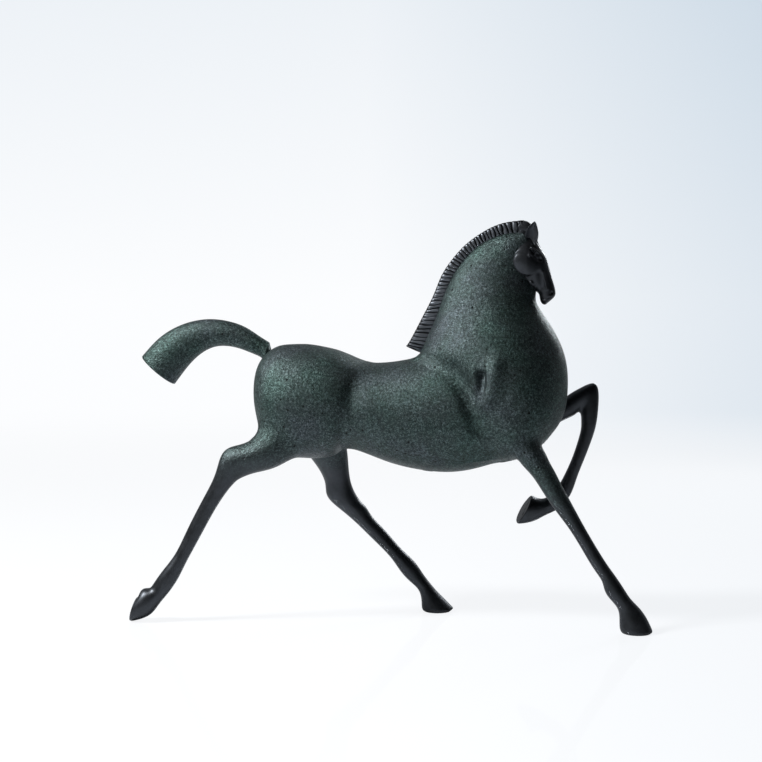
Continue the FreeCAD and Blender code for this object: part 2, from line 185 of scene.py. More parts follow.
tree.links.new(glow.outputs[0], board_mix.inputs[2])
tree.links.new(board_mix.outputs[0], tree.nodes["Material Output"].inputs["Surface"])
floor.data.materials.append(board)

# ----------------------------------------------------------------------------------------- hindquarters shell
# The hollow rump and haunches, cast in one round a core and ground smooth at the seam. The haunches swell
# past the barrel and end in the flank crease; a shallow groove parts them along the croup and down the
# buttocks.


def stations(*rows):
    """Cross-sections of a mass: (x, z) of one end of the oval, (x, z) of the other, y of its centre, half
    width. Given in millimetres, kept in metres."""
    return np.array([[a[0], a[1], b[0], b[1], y, w] for a, b, y, w in rows]) * MM


def upright(x, top, bottom, half_width):
    """A cross-section of the trunk across the plane at x."""
    return ((x, top), (x, bottom), 0.0, half_width)


HINDQUARTERS = stations(
    upright(-111.9, 191.0, 183.0, 3.0),
    upright(-110.9, 202.0, 172.5, 15.0),
    upright(-108.0, 211.6, 160.0, 25.0),
    upright(-101.6, 219.8, 148.5, 34.0),
    upright(-91.4, 225.8, 139.0, 41.0),
    upright(-79.0, 227.2, 133.5, 44.8),
    upright(-66.0, 226.8, 131.5, 45.6),
    ((-50.0, 223.4), (-56.0, 131.8), 0.0, 45.0),
    ((-36.0, 218.0), (-47.0, 134.0), 0.0, 43.0),
    ((-27.0, 212.0), (-41.5, 139.5), 0.0, 39.5),
    ((-22.0, 205.0), (-37.5, 147.0), 0.0, 33.0),
)
BARREL = stations(
    upright(-70.0, 212.0, 148.0, 33.0),
    upright(-50.0, 214.5, 144.0, 36.5),
    upright(-26.0, 211.6, 138.6, 37.8),
    upright(0.0, 211.6, 129.2, 39.5),
    upright(26.0, 216.2, 123.4, 41.6),
    upright(50.0, 218.0, 122.0, 42.4),
    upright(72.0, 207.0, 126.6, 41.0),
    upright(90.0, 196.0, 136.0, 36.0),
)


def spline(table, where):
    """Rows of a table at fractional row numbers, on a natural cubic spline through all its rows: the second
    derivatives solve the tridiagonal system of equal slopes at each row."""
    n = len(table)
    matrix = np.diag(np.full(n, 4.0)) + np.diag(np.ones(n - 1), 1) + np.diag(np.ones(n - 1), -1)
    matrix[0, :2] = (1.0, 0.0)
    matrix[-1, -2:] = (0.0, 1.0)
    bend = np.zeros_like(table)
    bend[1:-1] = 6.0 * (table[2:] - 2.0 * table[1:-1] + table[:-2])
    bend = np.linalg.solve(matrix, bend)
    low = np.clip(np.floor(where).astype(int), 0, n - 2)
    t = (where - low)[:, None]
    s = 1.0 - t
    return (s * table[low] + t * table[low + 1] + ((s**3 - s) * bend[low] + (t**3 - t) * bend[low + 1]) / 6.0)


PLANES = 56


def mass_of(table):
    """A mass's dense cross-section planes: centre, unit vector to the oval's first end, plane normal."""
    dense = spline(table, np.linspace(0.0, len(table) - 1.0, PLANES))
    centre = np.stack([(dense[:, 0] + dense[:, 2]) / 2, dense[:, 4], (dense[:, 1] + dense[:, 3]) / 2], 1)
    reach = np.stack([dense[:, 0] - dense[:, 2], np.zeros(PLANES), dense[:, 1] - dense[:, 3]], 1)
    reach /= np.linalg.norm(reach, axis=1)[:, None]
    normal = np.stack([-reach[:, 2], np.zeros(PLANES), reach[:, 0]], 1)
    ahead = np.gradient(centre, axis=0)
    normal *= np.sign((normal * ahead).sum(1))[:, None]
    return table, centre, normal


def depth(points, mass):
    """How far points lie outside a mass, below zero inside. A point is measured in the cross-section plane
    that passes through it: its distance from the oval's centre less the oval's radius that way, times the
    cosine of the flank's slope. Past the first or last plane, the distance past it is joined in at a right
    angle."""
    table, centre, normal = mass
    along = points @ normal.T - (centre * normal).sum(1)
    away = ((points**2).sum(1)[:, None] - 2.0 * points @ centre.T + (centre**2).sum(1))
    between = (along[:, :-1] >= 0.0) & (along[:, 1:] < 0.0)
    cost = np.where(between, away[:, :-1], np.inf)
    plane = cost.argmin(1)
    inside = np.isfinite(cost[np.arange(len(points)), plane])
    last = away[:, -1] < away[:, 0]
    plane = np.where(inside, plane, np.where(last, PLANES - 2, 0))
    row = np.arange(len(points))
    here, there = along[row, plane], along[row, plane + 1]
    share = np.where(inside, here / np.where(inside, here - there, 1.0), np.where(last, 1.0, 0.0))
    past = np.where(inside, 0.0, np.where(last, np.maximum(there, 0.0), np.maximum(-here, 0.0)))
    step = (len(table) - 1.0) / (PLANES - 1.0)
    where = (plane + share) * step
    oval = spline(table, where)
    further = spline(table, np.clip(where + 0.02, 0.0, len(table) - 1.0))
    before = spline(table, np.clip(where - 0.02, 0.0, len(table) - 1.0))

    def measure(at):
        middle = np.stack([(at[:, 0] + at[:, 2]) / 2, at[:, 4], (at[:, 1] + at[:, 3]) / 2], 1)
        half = np.hypot(at[:, 0] - at[:, 2], at[:, 1] - at[:, 3]) / 2
        unit = np.stack([at[:, 0] - at[:, 2], at[:, 1] - at[:, 3]], 1) / (2.0 * half[:, None])
        return middle, half, unit

    middle, half, unit = measure(oval)
    off = points - middle
    tall = off[:, 0] * unit[:, 0] + off[:, 2] * unit[:, 1]
    wide = off[:, 1]
    far = np.hypot(tall, wide) + 1e-9
    cos, sin = tall / far, wide / far
    radius = 1.0 / np.sqrt((cos / half)**2 + (sin / oval[:, 5])**2)
    middle_b, half_b, _ = measure(before)
    middle_f, half_f, _ = measure(further)
    run = np.linalg.norm(middle_f - middle_b, axis=1) + 1e-6
    slope = (cos**2 * (half_f - half_b) + sin**2 * (further[:, 5] - before[:, 5])) / run
    side = (far - radius) / np.sqrt(1.0 + np.minimum(slope**2, 9.0))
    return np.where(past > 0.0, np.hypot(np.maximum(side, 0.0), past), side)


def ease(value, low, high):
    """A smooth step from 0 at low to 1 at high."""
    t = np.clip((value - low) / (high - low), 0.0, 1.0)
    return t * t * (3.0 - 2.0 * t)


def merge(a, b, k):
    """Smooth union of two depths: the smaller one, less k/6 times the cube of how nearly they agree within
    k."""
    near = np.maximum(k - np.abs(a - b), 0.0) / k
    return np.minimum(a, b) - k / 6.0 * near**3


GAP = 0.02 * MM


def own_skin(own, other, k):
    """The union as one piece's surface: its own mass, filleted on to another that lies GAP deeper and that
    falls away where the point is more than k outside the own mass, so that the piece ends under its
    neighbour."""
    return merge(own, other + GAP + 2.0 * np.maximum(own - other - k, 0.0), k)


def groove(points, path, width, deep):
    """A trough along a run of straight lines: its depth times the bell curve of the distance from the run."""
    path = np.array(path) * MM
    gap = np.full(len(points), np.inf)
    for a, b in zip(path[:-1], path[1:]):
        share = np.clip(((points - a) @ (b - a)) / ((b - a) @ (b - a)), 0.0, 1.0)
        gap = np.minimum(gap, np.linalg.norm(points - a - share[:, None] * (b - a), axis=1))
    return deep * MM * np.exp(-(gap / (width * MM))**2)


def right_side(points):
    """Points of the left side mirrored on to the right one."""
    return np.stack([points[:, 0], -np.abs(points[:, 1]), points[:, 2]], 1)


def creases(points):
    """The hollows that run along the front of each haunch and the back of each shoulder."""
    near = right_side(points)
    flank = groove(near, [(-21.0, -37.0, 204.0), (-27.0, -40.0, 184.0), (-34.0, -40.0, 160.0)], 6.0, 1.7)
    shoulder = groove(near, [(56.0, -37.0, 207.0), (63.0, -40.5, 192.0), (67.0, -42.0, 176.0),
                             (73.0, -41.0, 160.0)], 5.0, 3.0)
    return flank + shoulder


hind_mass = mass_of(HINDQUARTERS)
barrel_mass = mass_of(BARREL)


def hind_depth(points):
    """The haunches, with the groove between them along the croup and down the buttocks."""
    part = 1.3 * MM * np.exp(-(points[:, 1] / (7.0 * MM))**2) * ease(-points[:, 0], 40.0 * MM, 62.0 * MM)
    return depth(points, hind_mass) + part + creases(points)


def barrel_depth(points):
    """The belly and back between the creases."""
    return depth(points, barrel_mass) + creases(points)


def flank_fillet(points):
    """Fillet between haunch and barrel: tight down the flank, wide over the back and under the belly."""
    z = points[:, 2]
    return (8.0 + 6.0 * ease(z, 192.0 * MM, 215.0 * MM) + 8.0 * ease(-z, -160.0 * MM, -138.0 * MM)) * MM


def walk(origin, ray, field, reach):
    """Points where rays from inside a body leave it: halving of the span, then false position."""
    low = np.zeros(len(origin))
    high = np.full(len(origin), reach)
    for _ in range(11):
        middle = (low + high) / 2
        outside = field(origin + ray * middle[:, None]) > 0.0
        high = np.where(outside, middle, high)
        low = np.where(outside, low, middle)
    at_low = field(origin + ray * low[:, None])
    at_high = field(origin + ray * high[:, None])
    steady = np.abs(at_high - at_low) > 1e-9
    share = np.where(steady, -at_low / np.where(steady, at_high - at_low, 1.0), 0.5)
    return origin + ray * (low + np.clip(share, 0.0, 1.0) * (high - low))[:, None]


def pod(path, field, reach, columns, spacing):
    """A closed surface round a centre path. Rays fan over a dome at each end of the path and stand square to
    the path between, in the plane of Y and the path's own side; each is cut where the field is zero."""
    path = np.array(path) * MM
    dense = spline(path, np.linspace(0.0, len(path) - 1.0, 400))
    run = np.concatenate([[0.0], np.cumsum(np.linalg.norm(np.diff(dense, axis=0), axis=1))])
    steps = max(int(run[-1] / (spacing * MM)), 2)
    even = np.linspace(0.0, run[-1], steps + 1)
    centre = np.stack([np.interp(even, run, dense[:, i]) for i in range(3)], 1)
    ahead = np.gradient(centre, axis=0)
    ahead /= np.linalg.norm(ahead, axis=1)[:, None]
    fan = max(int(reach * 0.7 / (spacing * MM)), 12)
    tilt = np.linspace(math.pi / 2, 0.0, fan, endpoint=False)
    centre = np.concatenate([np.repeat(centre[:1], fan, 0), centre, np.repeat(centre[-1:], fan, 0)])
    ahead = np.concatenate([np.repeat(ahead[:1], fan, 0), ahead, np.repeat(ahead[-1:], fan, 0)])
    lean = np.concatenate([-tilt, np.zeros(steps + 1), tilt[::-1]])[:, None, None]
    turn = np.linspace(0.0, 2.0 * math.pi, columns, endpoint=False)[None, :, None]
    up = np.stack([-ahead[:, 2], np.zeros(len(ahead)), ahead[:, 0]], 1)[:, None, :]
    ray = (np.cos(turn) * up + np.sin(turn) * np.array([0.0, 1.0, 0.0])) * np.cos(lean)
    ray = ray + ahead[:, None, :] * np.sin(lean)
    origin = np.repeat(centre[:, None, :], columns, 1)
    found = walk(origin.reshape(-1, 3), ray.reshape(-1, 3), field, reach)
    return found.reshape(len(centre), columns, 3)


def hind_skin(points):
    """The hindquarters' own surface, filleted to the barrel."""
    return own_skin(hind_depth(points), barrel_depth(points), flank_fillet(points))


def patina(name, black_z, green_z, sheen_and_shade=False):
    """Patinated bronze on Object coordinates. Above green_z the sand-cast grain is left: granules of two
    sizes, lighter on their tops, in drifting patches of green and of violet grey, with a few pinholes. Below
    black_z the metal was polished smooth and nearly black. With the flag set, the piece's own point attribute
    of painted light multiplies the colour: a painted highlight where it is high, painted shade where it is
    low."""
    material = bpy.data.materials.new(name)
    material.use_nodes = True
    tree = material.node_tree
    shader = tree.nodes["Principled BSDF"]
    shader.inputs["Metallic"].default_value = 0.85
    place = tree.nodes.new("ShaderNodeTexCoord").outputs["Object"]

    def noise(scale, detail, rough):
        node = tree.nodes.new("ShaderNodeTexNoise")
        node.inputs["Scale"].default_value = scale
        node.inputs["Detail"].default_value = detail
        node.inputs["Roughness"].default_value = rough
        tree.links.new(place, node.inputs["Vector"])
        return node.outputs["Fac"]

    def cells(scale):
        node = tree.nodes.new("ShaderNodeTexVoronoi")
        node.inputs["Scale"].default_value = scale
        tree.links.new(place, node.inputs["Vector"])
        return node.outputs["Distance"]

    def spread(value, low, high, to_low=0.0, to_high=1.0):
        return line_up(tree, value, low, high, to_low, to_high)

    def sum_of(a, b):
        return reckon(tree, "ADD", a, b)

    def times(a, b):
        return reckon(tree, "MULTIPLY", a, b)

    def ramp(value, *stops):
        node = tree.nodes.new("ShaderNodeValToRGB")
        marks = node.color_ramp.elements
        while len(marks) < len(stops):
            marks.new(0.5)
        for mark, (at, colour) in zip(marks, stops):
            mark.position = at
            mark.color = (*colour, 1.0)
        tree.links.new(value, node.inputs["Fac"])
        return node.outputs["Color"]

    def blend(factor, a, b, kind="MIX"):
        node = tree.nodes.new("ShaderNodeMix")
        node.data_type = "RGBA"
        node.blend_type = kind
        for socket, value in ((node.inputs["Factor"], factor), (node.inputs["A"], a), (node.inputs["B"], b)):
            if isinstance(value, float):
                socket.default_value = value
            elif isinstance(value, tuple):
                socket.default_value = (*value, 1.0)
            else:
                tree.links.new(value, socket)
        return node.outputs["Result"]

    drift = noise(24.0, 3.0, 0.55)
    blotch = noise(85.0, 4.0, 0.6)
    height = sum_of(parts_of(tree, place)["Z"], times(drift, 0.05))
    cast = spread(height, black_z + 0.025, green_z + 0.025)
    granule = noise(1250.0, 2.0, 0.65)
    clump = noise(520.0, 2.0, 0.5)
    grain = sum_of(times(granule, 0.62), times(clump, 0.38))
    tops = spread(grain, 0.36, 0.66)
    pinhole = spread(cells(105.0), 0.07, 0.12)

    green = ramp(tops, (0.0, (0.010, 0.015, 0.015)), (0.5, (0.042, 0.062, 0.062)),
                 (1.0, (0.150, 0.205, 0.210)))
    patch = ramp(drift, (0.36, (0.88, 1.03, 0.96)), (0.52, (1.0, 1.0, 1.0)), (0.66, (1.08, 0.97, 1.07)))
    green = blend(1.0, green, patch, "MULTIPLY")
    green = blend(spread(blotch, 0.42, 0.64, 0.0, 0.3), green, (0.026, 0.040, 0.039))
    green = blend(pinhole, (0.002, 0.003, 0.003), green)
    black = ramp(blotch, (0.32, (0.036, 0.040, 0.045)), (0.68, (0.054, 0.060, 0.070)))
    colour = blend(cast, black, green)
    # Painted light: where the point attribute is high the colour is lifted up to 3.6 times, a painted
    # highlight; where it is low it is cut to a twentieth, painted shade.
    if sheen_and_shade:
        mark = tree.nodes.new("ShaderNodeAttribute")
        mark.attribute_name = "sheen_and_shade"
        painted_sheen_shade = ramp(mark.outputs["Fac"], (0.0, (0.05, 0.05, 0.05)), (0.45, (0.7, 0.7, 0.7)),
                      (1.0, (3.6, 3.6, 3.6)))
        colour = blend(1.0, colour, painted_sheen_shade, "MULTIPLY")
    tree.links.new(colour, shader.inputs["Base Color"])
    rough = sum_of(spread(blotch, 0.3, 0.7, 0.36, 0.44), times(cast, 0.02))
    tree.links.new(rough, shader.inputs["Roughness"])
    relief = sum_of(times(grain, times(cast, 0.9)), times(blotch, 0.10))
    relief = sum_of(relief, times(pinhole, times(cast, 0.3)))
    bump = tree.nodes.new("ShaderNodeBump")
    bump.inputs["Strength"].default_value = 1.0
    bump.inputs["Distance"].default_value = 1.0 * MM
    tree.links.new(relief, bump.inputs["Height"])
    tree.links.new(bump.outputs["Normal"], shader.inputs["Normal"])
    return material


def grid_mesh(name, rows):
    """A smooth closed mesh from a grid of points, rows by columns. Columns wrap round; the first row and the
    last are each one point, the poles. The faces are turned outwards by the sign of the enclosed volume."""
    count, across = rows.shape[0] - 2, rows.shape[1]
    points = np.concatenate([rows[:1, 0], rows[1:-1].reshape(-1, 3), rows[-1:, 0]])
    column = np.arange(across)
    beside = (column + 1) % across
    first = 1 + (count - 1) * across
    start = np.stack([np.zeros(across, int), 1 + beside, 1 + column], 1)
    end = np.stack([np.full(across, len(points) - 1), first + column, first + beside], 1)
    row = 1 + across * np.arange(count - 1)[:, None]
    quads = np.stack([row + column, row + beside, row + across + beside, row + across + column], 2)
    quads = quads.reshape(-1, 4)
    corners = points[quads]
    volume = np.einsum("ij,ij->", corners[:, 0], np.cross(corners[:, 1], corners[:, 2]) + np.cross(
        corners[:, 2], corners[:, 3]))
    if volume < 0:
        start, end, quads = start[:, ::-1], end[:, ::-1], quads[:, ::-1]
    mesh = bpy.data.meshes.new(name)
    mesh.from_pydata(points.tolist(), [], start.tolist() + quads.tolist() + end.tolist())
    mesh.shade_smooth()
    piece = bpy.data.objects.new(name, mesh)
    bpy.context.scene.collection.objects.link(piece)
    return piece


granular = patina("granular green patina", -0.9, -0.8)

COLUMNS = 260
SPACING = 1.0
hindquarters = grid_mesh("hindquarters", pod([(-80, 0, 181), (-62, 0, 180), (-48, 0, 178)], hind_skin, 0.075,
                                             COLUMNS, SPACING))
hindquarters.data.materials.append(granular)
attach(hindquarters, "root")
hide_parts("hindquarters_shell")

# ----------------------------------------------------------------------------------------------- barrel shell
# The hollow belly and back. Both its ends run on under the sections beside it, where a sleeve holds them; the
# belly keel shows a plugged core hole.

FOREHAND = stations(
    ((95.0, 132.6), (105.0, 133.6), 0.0, 11.0),
    ((88.0, 135.2), (114.0, 137.2), 0.0, 25.0),
    ((80.0, 141.8), (123.0, 143.8), 0.0, 36.0),
    ((71.0, 152.0), (131.0, 152.5), 0.0, 42.0),
    ((60.0, 169.0), (140.8, 168.0), 0.0, 45.8),
    ((48.0, 190.0), (144.4, 188.0), 0.0, 46.8),
    ((36.0, 209.0), (143.8, 208.0), 0.0, 44.4),
    ((30.0, 226.0), (138.4, 227.0), 0.0, 39.4),
    ((37.4, 247.5), (128.0, 245.5), 0.0, 32.0),
    ((45.4, 269.5), (119.0, 260.5), 0.0, 24.2),
    ((57.0, 290.5), (118.6, 270.5), 0.0, 17.4),
    ((72.0, 306.0), (114.5, 282.0), 0.0, 13.2),
    ((88.0, 314.2), (113.0, 292.0), 0.0, 11.4),
    ((101.0, 316.8), (114.0, 300.0), 0.0, 9.4),
    ((107.0, 317.6), (115.0, 305.0), 0.0, 8.0),
)
fore_mass = mass_of(FOREHAND)


def fore_depth(points):
    """Chest and neck, with the slit in the shoulder and the fold on the breast."""
    near = right_side(points)
    off = groove(near, [(78.4, -42.0, 203.0), (77.6, -44.0, 195.0), (75.0, -45.5, 184.0)], 2.7, 5.2)
    off = off - groove(near, [(88.0, -44.0, 210.0), (85.5, -45.5, 192.0), (80.0, -46.5, 178.0)], 6.5, 3.0)
    off = off - groove(near, [(70.0, -43.0, 207.0), (72.0, -44.5, 184.0)], 3.2, 1.8)
    off = off + groove(near, [(100.0, -43.5, 170.0), (112.0, -37.0, 168.0), (124.0, -27.0, 170.0)], 2.4, 1.0)
    return depth(points, fore_mass) + off + creases(points)


def withers_fillet(points):
    """Fillet between shoulder and barrel: wide over the withers, tight down the crease, wide at the elbow."""
    z = points[:, 2]
    return (8.0 + 20.0 * ease(z, 196.0 * MM, 224.0 * MM) + 14.0 * ease(-z, -166.0 * MM, -138.0 * MM)) * MM


def barrel_skin(points):
    """The barrel's own surface, filleted to the haunches and to the chest."""
    own = barrel_depth(points)
    rear = own_skin(own, hind_depth(points), flank_fillet(points))
    return np.minimum(own_skin(own, fore_depth(points), withers_fillet(points)), rear)


barrel = grid_mesh("barrel", pod([(-45, 0, 177), (0, 0, 171), (40, 0, 169), (66, 0, 166)], barrel_skin, 0.07,
                                 COLUMNS, SPACING))
barrel.data.materials.append(granular)
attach(barrel, "root")
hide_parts("barrel_shell")

# --------------------------------------------------------------------------------------------- forehand shell
# The hollow chest, shoulders and neck. The shoulders swell past the barrel in a soft crease that fades
# towards the elbow; each carries one short slit, cut in the wax with a spatula and left sharp at its rear
# edge.


def fore_skin(points):
    """The forehand's own surface, filleted to the barrel."""
    return own_skin(fore_depth(points), barrel_depth(points), withers_fillet(points))


FOREHAND_CORE = [(104, 0, 160), (103, 0, 180), (98, 0, 203), (89, 0, 226), (83, 0, 247), (82, 0, 266),
                 (85, 0, 283), (91, 0, 297), (98, 0, 305)]
forehand = grid_mesh("forehand", pod(FOREHAND_CORE, fore_skin, 0.085, COLUMNS, SPACING))
forehand.data.materials.append(granular)
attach(forehand, "root")
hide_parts("forehand_shell")

# -------------------------------------------------------------------------------------------------- four legs
# Each leg is cast solid with its hoof, set on the trunk with a dowel and brazed, and the joint is filled and
# chased into a flowing fillet. Below the knees and hocks the metal is rubbed smooth and nearly black.


def trunk_depth(points):
    """The three sections together."""
    hind, middle, fore = hind_depth(points), barrel_depth(points), fore_depth(points)
    return np.minimum(merge(hind, middle, flank_fillet(points)), merge(middle, fore, withers_fillet(points)))


def ring_rows(table, where, columns):
    """Ovals of a table at fractional row numbers, as rows of points."""
    at = spline(table, where)
    middle = np.stack([(at[:, 0] + at[:, 2]) / 2, at[:, 4], (at[:, 1] + at[:, 3]) / 2], 1)[:, None]
    reach = np.stack([(at[:, 0] - at[:, 2]) / 2, np.zeros(len(at)), (at[:, 1] - at[:, 3]) / 2], 1)[:, None]
    turn = np.linspace(0.0, 2.0 * math.pi, columns, endpoint=False)[None, :, None]
    wide = at[:, 5][:, None, None] * np.array([0.0, 1.0, 0.0])
    return middle + np.cos(turn) * reach + np.sin(turn) * wide


def climb(ring, toward, skin, steps, stride):
    """Rows that follow a fillet from a ring up the trunk. Every column keeps to the plane of the climbing
    direction and its own outward one; it takes equal strides at a right angle to the skin's slope in that
    plane, and is brought back on to the skin after each."""
    middle = ring.mean(0)
    out = ring - middle
    out = out - (out @ toward)[:, None] * toward
    out /= np.linalg.norm(out, axis=1)[:, None]
    tiny = 0.02 * MM
    rows = []
    point = ring
    for _ in range(steps):
        for turn in range(3):
            value = skin(point)
            up = (skin(point + tiny * toward) - value) / tiny
            side = (skin(point + tiny * out) - value) / tiny
            size = np.maximum(np.hypot(up, side), 0.3)
            if turn < 2:
                shift = np.clip(value / size, -0.6 * MM, 0.6 * MM) / size
                point = point - shift[:, None] * (up[:, None] * toward + side[:, None] * out)
        rows.append(point)
        point = point + stride * MM * ((side / size)[:, None] * toward - (up / size)[:, None] * out)
    return np.array(rows)


limb_masses = []
leg_patina = patina("leg patina", 0.115, 0.150)
fore_leg_patina = patina("leading leg patina", 0.080, 0.130)
smooth = patina("smooth black patina", 0.8, 0.9)


def limb_rows(table, skin, root, steps, columns, spacing):
    """Rows of a limb from the root station down to its last one, and the rows that climb the trunk from
    there, closed inside it. Near the root the rows are rays from the limb's middle cut where the skin is."""
    length = np.linalg.norm(np.diff((table[:, :2] + table[:, 2:4]) / 2, axis=0), axis=1).sum()
    count = int(length * (1.0 - root / len(table)) / (spacing * MM))
    rows = ring_rows(table, np.linspace(root, len(table) - 1.0, count), columns)
    toward = rows[0].mean(0) - rows[3].mean(0)
    toward /= np.linalg.norm(toward)
    near = min(30, count // 2)
    centre = rows[:near].mean(1, keepdims=True).repeat(columns, 1).reshape(-1, 3)
    ray = rows[:near].reshape(-1, 3) - centre
    ray /= np.linalg.norm(ray, axis=1)[:, None]
    rows[:near] = walk(centre, ray, skin, 0.035).reshape(near, columns, 3)
    flare = climb(rows[0], toward, skin, steps, spacing)[1:]
    plug = flare[-1].mean(0) + (flare[-1] - flare[-1].mean(0)) * 0.5 + toward * 3.0 * MM
    inside = np.repeat(plug.mean(0)[None, None], columns, 1)
    return rows, np.concatenate([inside, plug[None], flare[::-1]])


LEG_COLUMNS = 72
LEG_SPACING = 1.1


def leg(name, table, sole, root, fillet, steps, tilt=0.0):
    """A leg and its hoof. The sole is closed by shrinking rings, pushed out by the vector sole. tilt turns
    the sole's plane about its long axis, as a slope, growing from the fetlock down."""
    mass = mass_of(table)
    limb_masses.append((mass, fillet))

    def skin(points):
        return own_skin(depth(points, mass), trunk_depth(points), fillet * MM)

    rows, flare = limb_rows(table, skin, root, steps, LEG_COLUMNS, LEG_SPACING)
    if tilt:
        lower = ease(np.arange(len(rows)), len(rows) * 0.84, len(rows) - 1.0)[:, None]
        facing = rows[-1].mean(0) - rows[-3].mean(0)
        facing /= np.linalg.norm(facing)
        rows = rows + (tilt * lower * (rows[:, :, 1] - rows[:, :, 1].mean(1)[:, None]))[:, :, None] * facing
    under = rows[-1].mean(0) + sole * MM
    shrink = np.array([0.985, 0.93, 0.8, 0.55, 0.3])[:, None, None]
    bottom = under + (rows[-1] - rows[-1].mean(0))[None] * shrink
    end = np.repeat(under[None, None], LEG_COLUMNS, 1)
    return grid_mesh(name, np.concatenate([flare, rows, bottom, end]))


RIGHT_HIND = stations(
    ((-95.0, 167.0), (-64.0, 149.0), -18.0, 16.0),
    ((-102.4, 157.8), (-76.0, 136.0), -23.0, 16.5),
    ((-109.0, 149.8), (-90.0, 126.6), -27.0, 15.0),
    ((-118.2, 145.2), (-104.2, 122.6), -30.2, 12.2),
    ((-128.0, 142.2), (-114.0, 119.6), -32.0, 10.2),
    ((-134.0, 135.6), (-120.6, 116.2), -33.0, 8.8),
    ((-137.4, 125.0), (-125.0, 112.0), -33.6, 7.7),
    ((-142.0, 113.4), (-130.0, 105.8), -34.0, 6.8),
    ((-150.6, 97.4), (-139.6, 91.2), -34.3, 6.0),
    ((-162.0, 75.2), (-152.0, 68.8), -34.8, 5.6),
    ((-171.8, 55.8), (-162.4, 49.8), -35.3, 5.8),
    ((-182.4, 41.6), (-168.8, 37.0), -36.0, 6.6),
    ((-189.6, 31.6), (-174.8, 27.6), -36.0, 6.6),
    ((-193.2, 27.6), (-179.8, 21.2), -36.0, 7.0),
    ((-197.4, 27.0), (-186.0, 13.6), -36.0, 8.8),
    ((-200.4, 25.0), (-193.6, 5.2), -36.0, 10.2),
    ((-201.8, 21.8), (-204.4, 0.9), -36.0, 10.0),
    ((-203.0, 19.6), (-208.8, 0.3), -36.0, 9.2),
)
right_hind = leg("right_hind_leg", RIGHT_HIND, np.array([-0.7, 0.0, 0.2]), 3.3, 18.0, 60)
right_hind.data.materials.append(leg_patina)
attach(right_hind, "root")
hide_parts("right_hind_leg")

LEFT_HIND = stations(
    ((-86.0, 162.0), (-46.0, 164.0), 19.0, 17.0),
    ((-80.0, 147.0), (-42.4, 151.0), 23.5, 16.5),
    ((-72.6, 132.6), (-40.0, 137.0), 27.5, 14.4),
    ((-64.8, 121.2), (-39.0, 122.4), 30.0, 12.2),
    ((-59.4, 109.0), (-37.6, 109.8), 32.0, 10.5),
    ((-58.2, 98.8), (-34.0, 100.0), 33.0, 9.6),
    ((-52.6, 90.8), (-29.0, 92.4), 33.6, 8.7),
    ((-42.4, 82.4), (-24.4, 87.4), 34.0, 7.8),
    ((-31.4, 72.8), (-18.9, 79.0), 34.5, 6.8),
    ((-18.8, 60.6), (-8.4, 67.9), 35.0, 6.2),
    ((-5.4, 47.2), (4.4, 53.4), 35.5, 6.1),
    ((2.4, 36.8), (15.8, 42.4), 36.0, 6.9),
    ((9.6, 28.0), (23.6, 31.8), 36.0, 7.0),
    ((17.4, 21.0), (29.4, 24.2), 36.0, 6.8),
    ((21.4, 15.0), (35.0, 17.6), 36.0, 7.6),
    ((22.6, 8.4), (41.6, 11.0), 36.0, 9.4),
    ((23.0, 3.0), (47.6, 5.0), 36.0, 10.6),
    ((24.2, 0.7), (49.2, 2.6), 36.0, 10.6),
    ((25.6, 0.0), (46.6, 0.4), 36.0, 9.8),
)
left_hind = leg("left_hind_leg", LEFT_HIND, np.array([0.0, 0.0, -0.2]), 2.7, 9.0, 44)
left_hind.data.materials.append(leg_patina)
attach(left_hind, "root")
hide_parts("left_hind_leg")

RIGHT_FORE = stations(
    ((87.0, 157.0), (112.4, 162.0), -20.0, 16.0),
    ((95.6, 147.0), (120.0, 151.0), -24.5, 14.4),
    ((103.4, 137.8), (126.4, 141.4), -28.0, 12.4),
    ((109.8, 129.8), (130.4, 133.4), -30.0, 10.8),
    ((117.4, 121.5), (134.8, 125.6), -31.5, 9.3),
    ((125.8, 109.0), (140.6, 114.4), -33.0, 8.0),
    ((136.0, 94.5), (148.6, 99.8), -34.0, 6.9),
    ((149.3, 76.3), (158.4, 82.0), -34.8, 5.8),
    ((163.4, 53.0), (172.2, 59.0), -35.4, 5.7),
    ((171.4, 41.0), (181.4, 45.8), -36.0, 6.3),
    ((174.6, 31.6), (188.2, 35.8), -36.0, 6.9),
    ((181.0, 23.4), (194.0, 27.2), -36.0, 6.8),
    ((184.8, 16.6), (200.8, 20.0), -36.0, 7.6),
    ((185.4, 8.8), (206.4, 12.2), -36.0, 9.4),
    ((185.8, 3.4), (210.0, 4.8), -36.0, 10.6),
    ((187.2, 0.7), (210.8, 1.6), -36.0, 10.6),
    ((188.8, 0.0), (209.0, 0.1), -36.0, 9.8),
)
right_fore = leg("right_foreleg", RIGHT_FORE, np.array([0.0, 0.0, -0.05]), 3.0, 10.0, 50)
right_fore.data.materials.append(fore_leg_patina)
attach(right_fore, "root")
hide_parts("right_foreleg")

